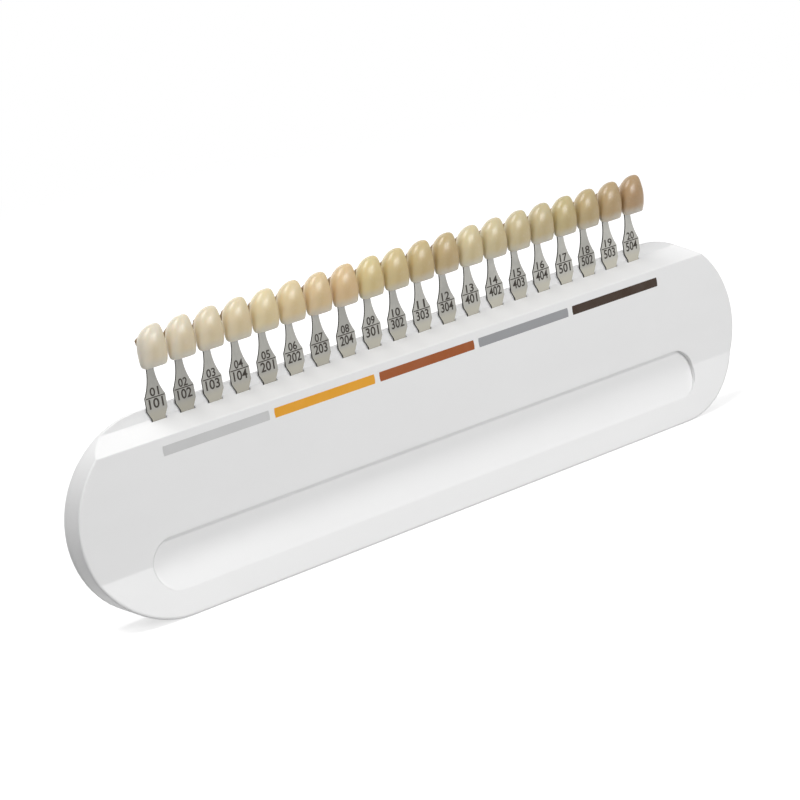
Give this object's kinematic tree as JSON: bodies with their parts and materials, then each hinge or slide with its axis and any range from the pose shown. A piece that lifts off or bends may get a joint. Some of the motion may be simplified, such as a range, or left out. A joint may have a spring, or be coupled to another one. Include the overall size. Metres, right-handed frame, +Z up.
{
  "type": "dental shade guide",
  "caption": "Long white holder standing on its edge with a row of pull-out shade tabs, each a steel strip with a tooth-shaped crown.",
  "frame": {"origin": "middle of the footprint, on the table", "axes": "+Z up, +X along the row of tabs to the viewer's right, the printed front faces -Y"},
  "size_m": [0.236, 0.0117, 0.0773],
  "materials": {
    "white_plastic": "satin white moulded plastic",
    "strip_steel": "satin",
    "crown_shade_1": "tooth-coloured acrylic, glossy",
    "crown_shade_2": "tooth-coloured acrylic, glossy",
    "crown_shade_3": "tooth-coloured acrylic, glossy",
    "crown_shade_4": "tooth-coloured acrylic, glossy",
    "crown_shade_5": "tooth-coloured acrylic, glossy"
  },
  "bodies": {
    "holder": {"front_shell": "white_plastic", "back_plate": "white_plastic"},
    "tab_01": {"tab_strip_01": "strip_steel", "crown_01": "crown_shade_1"},
    "tab_02": {"tab_strip_02": "strip_steel", "crown_02": "crown_shade_1"},
    "tab_03": {"tab_strip_03": "strip_steel", "crown_03": "crown_shade_1"},
    "tab_04": {"tab_strip_04": "strip_steel", "crown_04": "crown_shade_1"},
    "tab_05": {"tab_strip_05": "strip_steel", "crown_05": "crown_shade_2"},
    "tab_06": {"tab_strip_06": "strip_steel", "crown_06": "crown_shade_2"},
    "tab_07": {"tab_strip_07": "strip_steel", "crown_07": "crown_shade_2"},
    "tab_08": {"tab_strip_08": "strip_steel", "crown_08": "crown_shade_2"},
    "tab_09": {"tab_strip_09": "strip_steel", "crown_09": "crown_shade_3"},
    "tab_10": {"tab_strip_10": "strip_steel", "crown_10": "crown_shade_3"},
    "tab_11": {"tab_strip_11": "strip_steel", "crown_11": "crown_shade_3"},
    "tab_12": {"tab_strip_12": "strip_steel", "crown_12": "crown_shade_3"},
    "tab_13": {"tab_strip_13": "strip_steel", "crown_13": "crown_shade_4"},
    "tab_14": {"tab_strip_14": "strip_steel", "crown_14": "crown_shade_4"},
    "tab_15": {"tab_strip_15": "strip_steel", "crown_15": "crown_shade_4"},
    "tab_16": {"tab_strip_16": "strip_steel", "crown_16": "crown_shade_4"},
    "tab_17": {"tab_strip_17": "strip_steel", "crown_17": "crown_shade_5"},
    "tab_18": {"tab_strip_18": "strip_steel", "crown_18": "crown_shade_5"},
    "tab_19": {"tab_strip_19": "strip_steel", "crown_19": "crown_shade_5"},
    "tab_20": {"tab_strip_20": "strip_steel", "crown_20": "crown_shade_5"}
  },
  "joints": [
    {"name": "tab_01_pull", "type": "slide", "parent": "holder", "child": "tab_01", "axis": [0, 0, 1], "range_m": [0, 0.02]},
    {"name": "tab_02_pull", "type": "slide", "parent": "holder", "child": "tab_02", "axis": [0, 0, 1], "range_m": [0, 0.02]},
    {"name": "tab_03_pull", "type": "slide", "parent": "holder", "child": "tab_03", "axis": [0, 0, 1], "range_m": [0, 0.02]},
    {"name": "tab_04_pull", "type": "slide", "parent": "holder", "child": "tab_04", "axis": [0, 0, 1], "range_m": [0, 0.02]},
    {"name": "tab_05_pull", "type": "slide", "parent": "holder", "child": "tab_05", "axis": [0, 0, 1], "range_m": [0, 0.02]},
    {"name": "tab_06_pull", "type": "slide", "parent": "holder", "child": "tab_06", "axis": [0, 0, 1], "range_m": [0, 0.02]},
    {"name": "tab_07_pull", "type": "slide", "parent": "holder", "child": "tab_07", "axis": [0, 0, 1], "range_m": [0, 0.02]},
    {"name": "tab_08_pull", "type": "slide", "parent": "holder", "child": "tab_08", "axis": [0, 0, 1], "range_m": [0, 0.02]},
    {"name": "tab_09_pull", "type": "slide", "parent": "holder", "child": "tab_09", "axis": [0, 0, 1], "range_m": [0, 0.02]},
    {"name": "tab_10_pull", "type": "slide", "parent": "holder", "child": "tab_10", "axis": [0, 0, 1], "range_m": [0, 0.02]},
    {"name": "tab_11_pull", "type": "slide", "parent": "holder", "child": "tab_11", "axis": [0, 0, 1], "range_m": [0, 0.02]},
    {"name": "tab_12_pull", "type": "slide", "parent": "holder", "child": "tab_12", "axis": [0, 0, 1], "range_m": [0, 0.02]},
    {"name": "tab_13_pull", "type": "slide", "parent": "holder", "child": "tab_13", "axis": [0, 0, 1], "range_m": [0, 0.02]},
    {"name": "tab_14_pull", "type": "slide", "parent": "holder", "child": "tab_14", "axis": [0, 0, 1], "range_m": [0, 0.02]},
    {"name": "tab_15_pull", "type": "slide", "parent": "holder", "child": "tab_15", "axis": [0, 0, 1], "range_m": [0, 0.02]},
    {"name": "tab_16_pull", "type": "slide", "parent": "holder", "child": "tab_16", "axis": [0, 0, 1], "range_m": [0, 0.02]},
    {"name": "tab_17_pull", "type": "slide", "parent": "holder", "child": "tab_17", "axis": [0, 0, 1], "range_m": [0, 0.02]},
    {"name": "tab_18_pull", "type": "slide", "parent": "holder", "child": "tab_18", "axis": [0, 0, 1], "range_m": [0, 0.02]},
    {"name": "tab_19_pull", "type": "slide", "parent": "holder", "child": "tab_19", "axis": [0, 0, 1], "range_m": [0, 0.02]},
    {"name": "tab_20_pull", "type": "slide", "parent": "holder", "child": "tab_20", "axis": [0, 0, 1], "range_m": [0, 0.02]}
  ]
}
